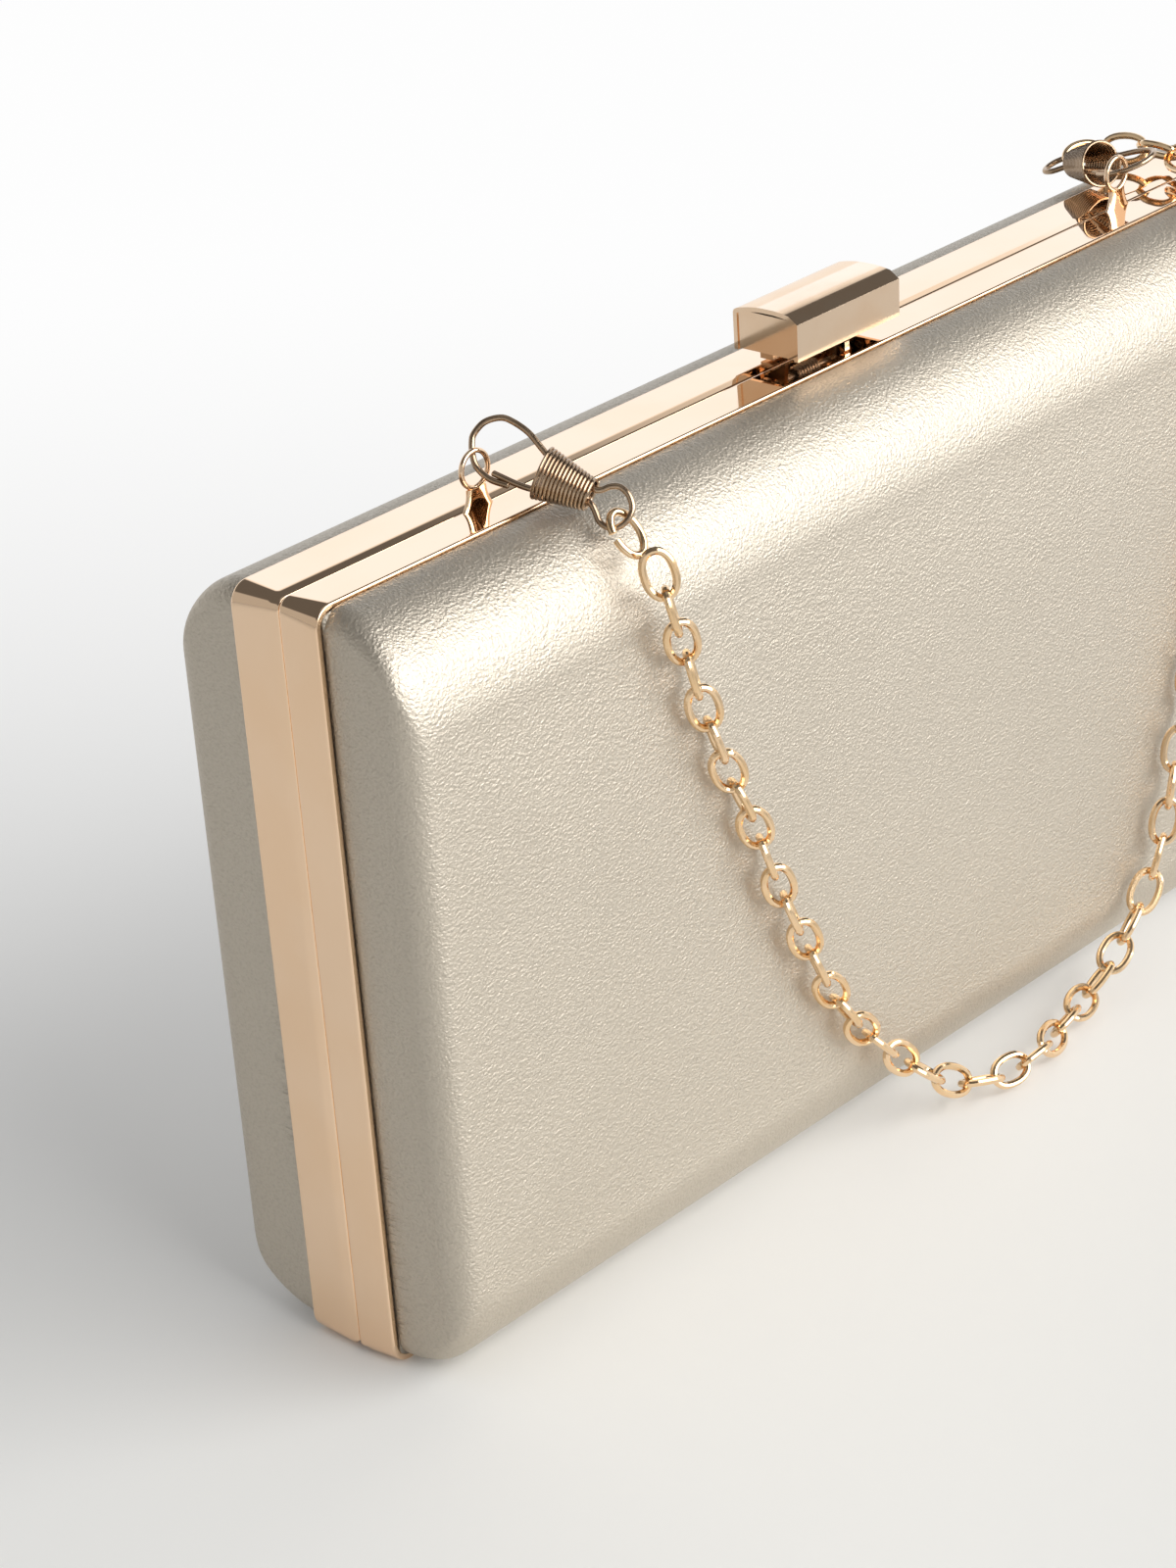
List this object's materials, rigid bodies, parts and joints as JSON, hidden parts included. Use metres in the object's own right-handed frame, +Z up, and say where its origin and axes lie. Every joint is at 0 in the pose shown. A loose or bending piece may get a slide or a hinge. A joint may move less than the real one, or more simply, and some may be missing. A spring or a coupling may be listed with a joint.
{
  "type": "hard shell evening clutch",
  "caption": "Rounded box clutch in metallic leather with polished metal rims, a lift-up top clasp and a chain strap hooked to ring lugs.",
  "frame": {"origin": "middle of the flat base under the closed case, in height at the surface it stands on", "axes": "+Z up, X along the long side, the front with the chain faces -Y"},
  "size_m": [0.222, 0.0569, 0.1268],
  "materials": {
    "rose_gold_metal": "mirror polished pale rose gold plate",
    "chain_metal": "polished rose gold plate",
    "clasp_metal": "polished rose gold plate",
    "bronze_wire": "polished dark bronze plate",
    "hinge_brass": "satin plate",
    "pin_steel": "drawn wire",
    "pewter_leather": "fine grained metallic pewter foil",
    "case_board": "moulded shell, hidden between leather and lining",
    "lining_fabric": "smooth matte lining"
  },
  "bodies": {
    "front_half": {"front_frame": "rose_gold_metal", "front_leather": "pewter_leather", "front_shell": "case_board", "front_lining": "lining_fabric", "left_hinge_leaf_front": "hinge_brass", "left_hinge_pin": "pin_steel", "right_hinge_leaf_front": "hinge_brass", "right_hinge_pin": "pin_steel", "left_lug": "rose_gold_metal", "right_lug": "rose_gold_metal", "catch_post": "hinge_brass", "left_hook_wire": "bronze_wire", "left_hook_coil": "bronze_wire", "right_hook_wire": "bronze_wire", "right_hook_coil": "bronze_wire", "left_chain_ring": "chain_metal", "right_chain_ring": "chain_metal", "chain": "chain_metal"},
    "rear_half": {"rear_frame": "rose_gold_metal", "rear_leather": "pewter_leather", "rear_shell": "case_board", "rear_lining": "lining_fabric", "left_hinge_leaf_rear": "hinge_brass", "right_hinge_leaf_rear": "hinge_brass", "clasp_base": "hinge_brass", "clasp_pin": "pin_steel", "clasp_spring": "pin_steel"},
    "clasp": {"clasp_block": "clasp_metal", "clasp_latch": "hinge_brass"}
  },
  "joints": [
    {"name": "case_hinge", "type": "hinge", "parent": "front_half", "child": "rear_half", "pos_m": [0, -0.001, 0.0015], "axis": [-1, 0, 0], "range_deg": [0, 85]},
    {"name": "clasp_lift", "type": "hinge", "parent": "rear_half", "child": "clasp", "pos_m": [0, 0.002, 0.1196], "axis": [-1, 0, 0], "range_deg": [0, 30], "stiffness_Nm_per_rad": 0.01, "springref_deg": -17.19}
  ]
}
